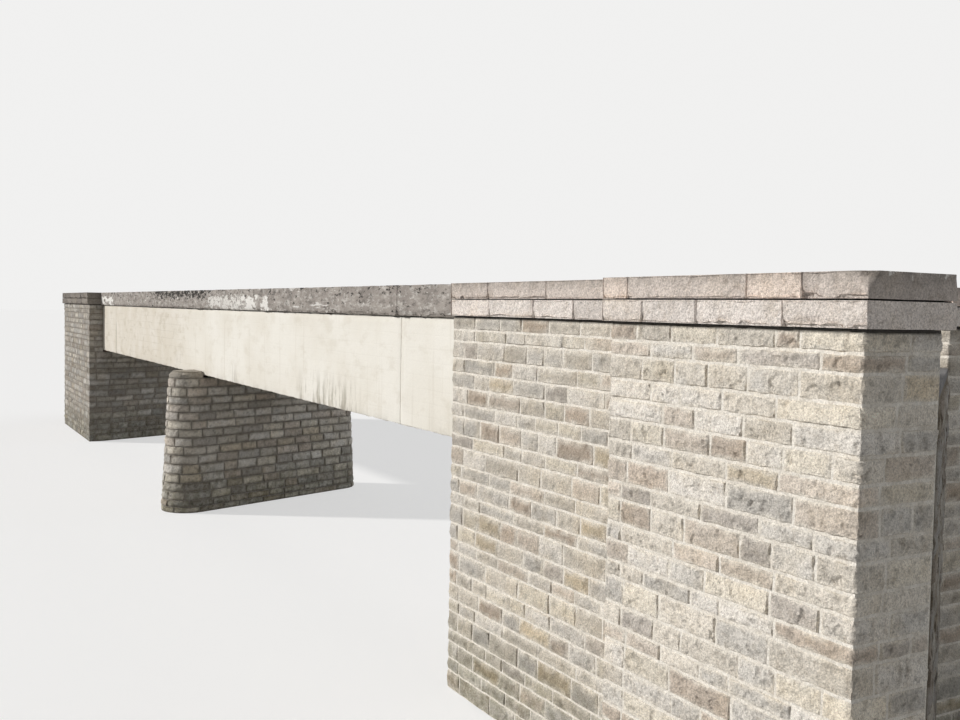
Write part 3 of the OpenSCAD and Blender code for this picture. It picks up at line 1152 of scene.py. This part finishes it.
def courses(side, seed, cell, course_joints=(), coping_joints=()):
    """The two projecting courses of one side."""
    rng = np.random.default_rng(seed)
    block_y = -BLOCK_Y - LIP
    recess_y = -RECESS_Y - LIP
    block_x = RECESS_END - LIP
    for part, z0, z1, marks, light, chip in (
            ("course", COURSE, MID, course_joints, LOWER_TONES, COURSE_CHIP),
            ("coping", MID, TOP, coping_joints, UPPER_TONES, COPING_CHIP)):
        tones, far_tones = (FAR_TONES, light) if side == "back" else (light, FAR_TONES)
        projecting(side, "short_block", part, rng, block_x, SHORT_END + LIP, block_y, z0, z1,
                   cell, tones, marks=marks, chip=chip)
        projecting(side, "recess", part, rng, SPAN, block_x, recess_y, z0, z1,
                   FAR_BLOCK_CELL, tones, skew=(SLOPE, 0, 0))
        projecting(side, "long_block", part, rng, -LONG_END - LIP, LEFT_X, block_y, z0, z1,
                   FAR_BLOCK_CELL, far_tones)


courses("front", 31, NEAR_BLOCK_CELL, NEAR_COURSE_JOINTS, NEAR_COPING_JOINTS)
courses("back", 32, FAR_BLOCK_CELL)

# Girders and their bands


def cast(node, slot, material, xs, low, high, cell, skew=0, **finish):
    """A long cast piece, open at its joints; skew is the slope of its right end."""
    pile = Pile()
    for a, b in zip(xs[:-1], xs[1:]):
        ends = (0, skew if b == xs[-1] else 0, 0)
        block(pile, (a + CAST_GAP, *low), (b - CAST_GAP, *high), cell, tone=CAST_TONE, skew=ends,
              **finish)
    pile.make(f"{node}_cast", material, [node], node.startswith("back"))


for side, seed in (("front", 41), ("back", 51)):
    cast(f"{side}_girder", "concrete", CONCRETE, [LEFT_X - SEAT, *JOINTS_X, RIGHT_X + SEAT],
         (-GIRDER_Y, SOFFIT), (-INNER_Y, BAND), (0.09, 0.07, 0.07), seed=seed,
         radius=0.012, rough=0.0015, erode=0.006)
    cast(f"{side}_girder_band", "weathered_concrete", WEATHERED, [LEFT_X, *JOINTS_X, SPAN],
         (-GIRDER_Y - LIP, BAND), (-INNER_Y + LIP, TOP), (0.03, 0.04, 0.035), SLOPE, seed=seed + 1,
         radius=0.010, rough=0.004, erode=0.022)

# Stage, light and camera

FLOOR_REACH = 400.0
FLOOR_Z = -0.002
FLOOR_TONE = (0.46, 0.46, 0.46, 1)
FLOOR_GLOW = 0.53
# strength of the surroundings as a light, and as seen
WORLD_LIGHT = 0.23
WORLD_SEEN = 0.878
WORLD_TONE = (1.0, 0.997, 0.99, 1)
# the photograph's camera: angles in degrees, place, focal length and width in pixels
CAMERA_YAW = 60.338
CAMERA_PITCH = -2.849
CAMERA_ROLL = 1.083
CAMERA_PLACE = (18.395, -5.920, 3.547)
FOCAL_PIXELS = 1027.2
PHOTO_WIDTH = 960.0
SENSOR_WIDTH = 36.0


def lay_floor():
    """A level floor that is seen nearly white, but throws back little light."""
    mesh = bpy.data.meshes.new("floor")
    corners = [(x * FLOOR_REACH, y * FLOOR_REACH, FLOOR_Z)
               for x, y in ((-1, -1), (1, -1), (1, 1), (-1, 1))]
    mesh.from_pydata(corners, [], [(0, 1, 2, 3)])
    coat = Coat("floor", 1.0)
    seen = coat.node("ShaderNodeLightPath").outputs["Is Camera Ray"]
    shader = coat.shader.inputs
    shader["Specular IOR Level"].default_value = 0.0
    shader["Base Color"].default_value = FLOOR_TONE
    coat.put(shader["Emission Color"], (1.0, 1.0, 1.0))
    coat.put(shader["Emission Strength"], coat.times(seen, FLOOR_GLOW))
    mesh.materials.append(coat.material)
    floor = bpy.data.objects.new("floor", mesh)
    bpy.context.scene.collection.objects.link(floor)


def surroundings():
    """Pale surroundings that give less light than they show."""
    world = bpy.data.worlds.new("studio")
    world.use_nodes = True
    tree = world.node_tree
    back = tree.nodes["Background"]
    ray = tree.nodes.new("ShaderNodeLightPath")
    strength = tree.nodes.new("ShaderNodeMapRange")
    strength.inputs["To Min"].default_value = WORLD_LIGHT
    strength.inputs["To Max"].default_value = WORLD_SEEN
    seen = tree.nodes.new("ShaderNodeMath")
    seen.operation = "MAXIMUM"
    tree.links.new(ray.outputs["Is Camera Ray"], seen.inputs[0])
    tree.links.new(ray.outputs["Is Glossy Ray"], seen.inputs[1])
    tree.links.new(seen.outputs[0], strength.inputs["Value"])
    tree.links.new(strength.outputs["Result"], back.inputs["Strength"])
    back.inputs["Color"].default_value = WORLD_TONE
    bpy.context.scene.world = world


def sun(name, energy, spread, way, colour):
    """A distant lamp that shines the given way."""
    lamp = bpy.data.lights.new(name, "SUN")
    lamp.energy = energy
    lamp.angle = math.radians(spread)
    lamp.color = colour
    light = bpy.data.objects.new(name, lamp)
    light.rotation_euler = Vector(way).to_track_quat("-Z", "Y").to_euler()
    bpy.context.scene.collection.objects.link(light)


def camera():
    """The camera that took the photograph."""
    yaw, pitch, roll = (math.radians(a) for a in (CAMERA_YAW, CAMERA_PITCH, CAMERA_ROLL))
    level = math.cos(pitch)
    ahead = Vector((-math.sin(yaw) * level, math.cos(yaw) * level, math.sin(pitch)))
    flat = Vector((math.cos(yaw), math.sin(yaw), 0.0))
    up = flat.cross(ahead)
    right = math.cos(roll) * flat + math.sin(roll) * up
    above = -math.sin(roll) * flat + math.cos(roll) * up
    data = bpy.data.cameras.new("photo_view")
    data.sensor_width = SENSOR_WIDTH
    data.lens = FOCAL_PIXELS * SENSOR_WIDTH / PHOTO_WIDTH
    data.clip_end = 1000.0
    view = bpy.data.objects.new("photo_view", data)
    turn = Matrix((right, above, -ahead)).transposed()
    view.matrix_world = Matrix.Translation(CAMERA_PLACE) @ turn.to_4x4()
    bpy.context.scene.collection.objects.link(view)
    bpy.context.scene.camera = view


lay_floor()
surroundings()
sun("key", 2.95, 3, (0.49, 0.77, -0.42), (1.0, 0.97, 0.93))
sun("fill", 0.60, 50, (-0.12, -0.80, -0.50), (0.94, 0.97, 1.0))
camera()
bpy.context.scene.view_settings.view_transform = "Standard"
